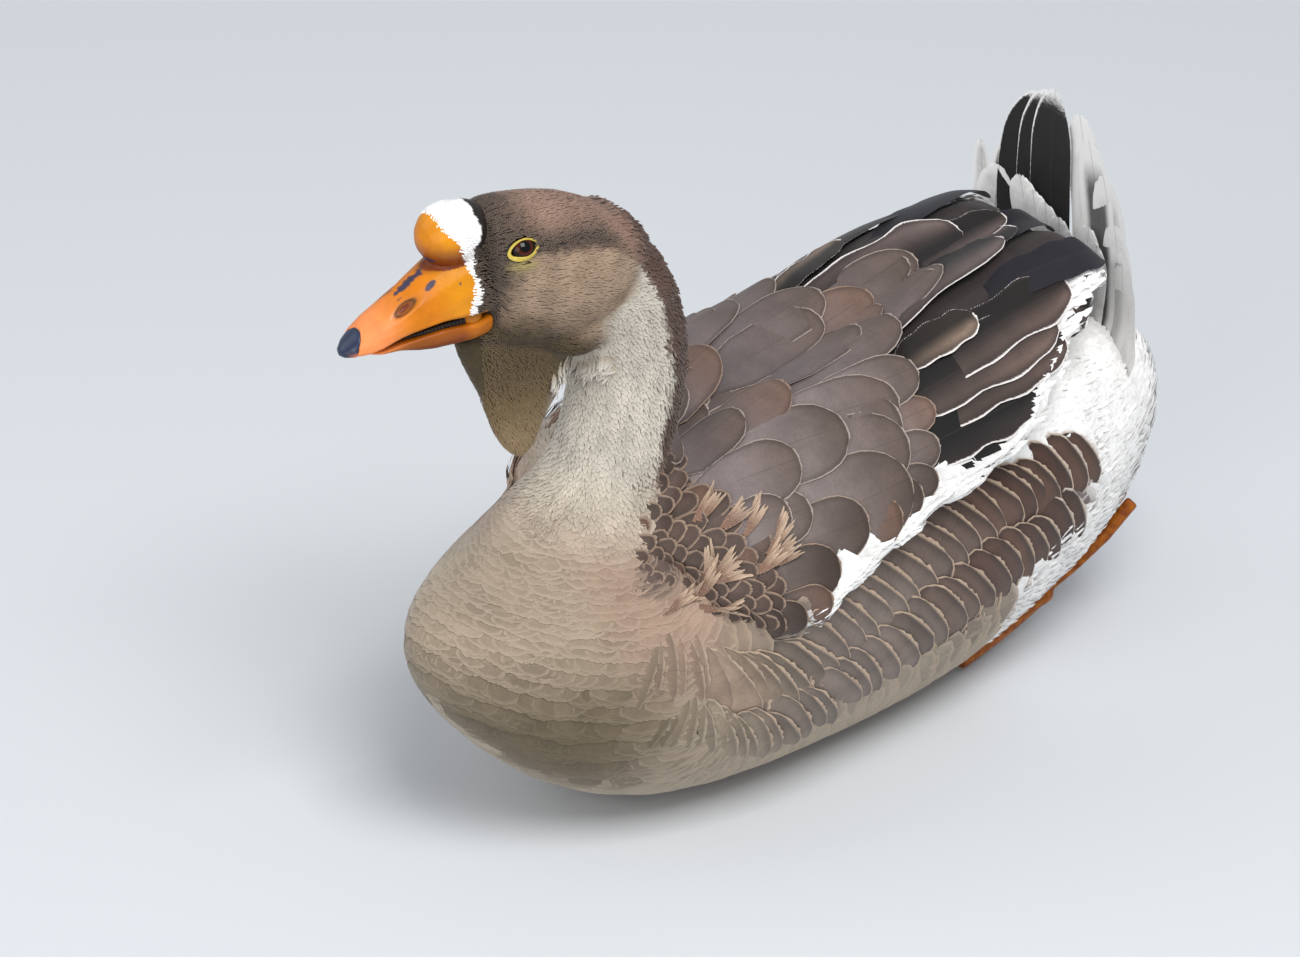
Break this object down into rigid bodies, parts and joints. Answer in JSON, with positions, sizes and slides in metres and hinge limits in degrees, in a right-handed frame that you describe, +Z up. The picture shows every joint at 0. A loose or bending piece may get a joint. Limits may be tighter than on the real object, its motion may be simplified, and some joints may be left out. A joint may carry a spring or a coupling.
{
  "type": "domestic goose",
  "caption": "Life-size still model of a knobbed, dewlapped domestic goose resting on its belly with folded wings, cocked tail, raised neck and feet tucked back.",
  "frame": {"origin": "on the floor, on the midline of the flat of the belly that the goose rests on", "axes": "+Z up; the goose faces -Y, its left side is +X and the tail is towards +Y"},
  "size_m": [0.2156, 0.5139, 0.3604],
  "materials": {
    "breast": "soft barred feathers, matt",
    "neck": "fine furrowed feathers, matt",
    "head": "short velvety feathers, matt",
    "dewlap": "short velvety feathers on loose skin, matt",
    "wing": "vaned feathers with pale edges, slight sheen",
    "tail": "vaned feathers with white edges, slight sheen",
    "bill": "smooth horny skin, satin",
    "nail": "smooth horn, satin",
    "eye": "wet and glossy, opaque",
    "leg": "scaled skin, satin"
  },
  "bodies": {
    "root": {"trunk": "breast", "neck": "neck", "head": "head", "eye_left": "eye", "eye_right": "eye", "knob": "bill", "bill_upper": "bill", "bill_nail": "nail", "bill_lower": "bill", "dewlap": "dewlap", "wing_left": "wing", "wing_right": "wing", "tail": "tail", "leg_left": "leg", "foot_left": "leg", "leg_right": "leg", "foot_right": "leg"}
  },
  "joints": []
}
